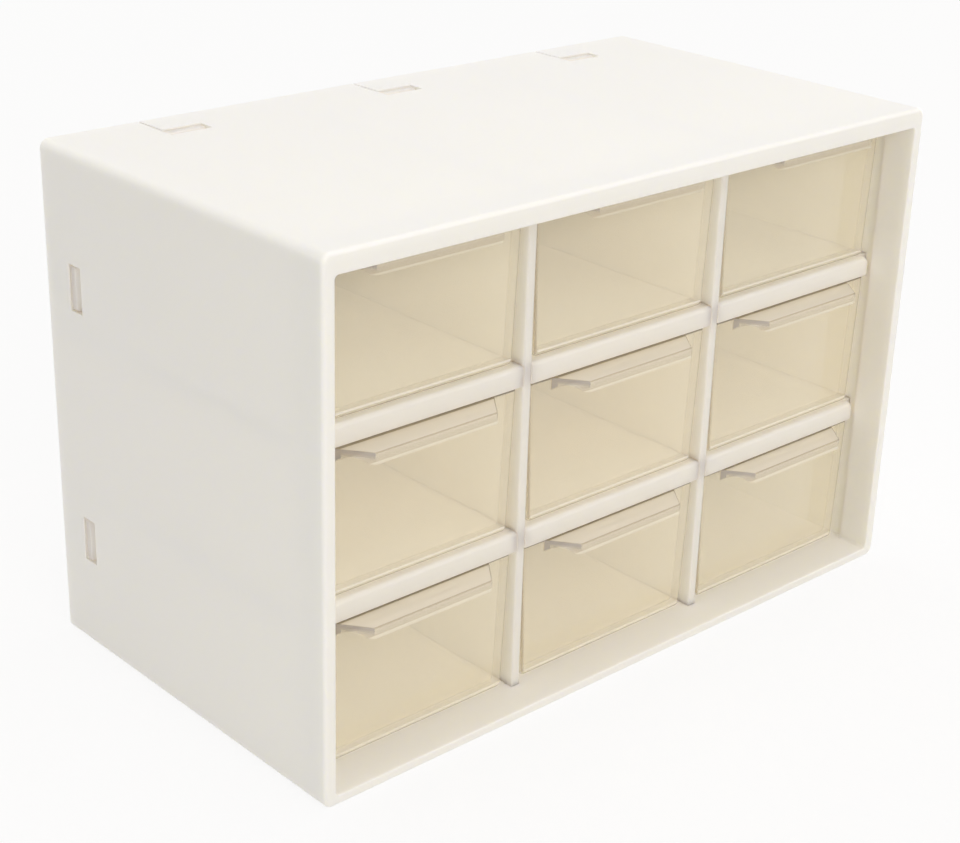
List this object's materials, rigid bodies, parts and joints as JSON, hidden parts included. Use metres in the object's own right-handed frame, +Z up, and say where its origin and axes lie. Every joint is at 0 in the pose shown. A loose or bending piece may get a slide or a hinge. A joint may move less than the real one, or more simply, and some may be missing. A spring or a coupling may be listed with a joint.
{
  "type": "desktop drawer organizer",
  "caption": "Box-shaped desktop organizer with a white case, a grid of compartments and clear pull-out drawers with moulded lip handles.",
  "frame": {"origin": "centre of the underside of the case, on the table", "axes": "+X across the width to the right, +Y from the open front to the back, +Z up"},
  "size_m": [0.185, 0.1, 0.1215],
  "materials": {
    "white_plastic": "smooth warm white moulded plastic with a soft gloss",
    "clear_plastic": "clear polished plastic with a faint warm tint"
  },
  "bodies": {
    "case_body": {"case": "white_plastic", "back_panel": "white_plastic", "divider_left_centre": "white_plastic", "divider_centre_right": "white_plastic", "shelf_under_middle": "white_plastic", "shelf_under_top": "white_plastic"},
    "drawer_bottom_left": {"drawer_bottom_left": "clear_plastic"},
    "drawer_bottom_centre": {"drawer_bottom_centre": "clear_plastic"},
    "drawer_bottom_right": {"drawer_bottom_right": "clear_plastic"},
    "drawer_middle_left": {"drawer_middle_left": "clear_plastic"},
    "drawer_middle_centre": {"drawer_middle_centre": "clear_plastic"},
    "drawer_middle_right": {"drawer_middle_right": "clear_plastic"},
    "drawer_top_left": {"drawer_top_left": "clear_plastic"},
    "drawer_top_centre": {"drawer_top_centre": "clear_plastic"},
    "drawer_top_right": {"drawer_top_right": "clear_plastic"}
  },
  "joints": [
    {"name": "drawer_bottom_left_slide", "type": "slide", "parent": "case_body", "child": "drawer_bottom_left", "axis": [0, -1, 0], "range_m": [0, 0.07]},
    {"name": "drawer_bottom_centre_slide", "type": "slide", "parent": "case_body", "child": "drawer_bottom_centre", "axis": [0, -1, 0], "range_m": [0, 0.07]},
    {"name": "drawer_bottom_right_slide", "type": "slide", "parent": "case_body", "child": "drawer_bottom_right", "axis": [0, -1, 0], "range_m": [0, 0.07]},
    {"name": "drawer_middle_left_slide", "type": "slide", "parent": "case_body", "child": "drawer_middle_left", "axis": [0, -1, 0], "range_m": [0, 0.07]},
    {"name": "drawer_middle_centre_slide", "type": "slide", "parent": "case_body", "child": "drawer_middle_centre", "axis": [0, -1, 0], "range_m": [0, 0.07]},
    {"name": "drawer_middle_right_slide", "type": "slide", "parent": "case_body", "child": "drawer_middle_right", "axis": [0, -1, 0], "range_m": [0, 0.07]},
    {"name": "drawer_top_left_slide", "type": "slide", "parent": "case_body", "child": "drawer_top_left", "axis": [0, -1, 0], "range_m": [0, 0.07]},
    {"name": "drawer_top_centre_slide", "type": "slide", "parent": "case_body", "child": "drawer_top_centre", "axis": [0, -1, 0], "range_m": [0, 0.07]},
    {"name": "drawer_top_right_slide", "type": "slide", "parent": "case_body", "child": "drawer_top_right", "axis": [0, -1, 0], "range_m": [0, 0.07]}
  ]
}
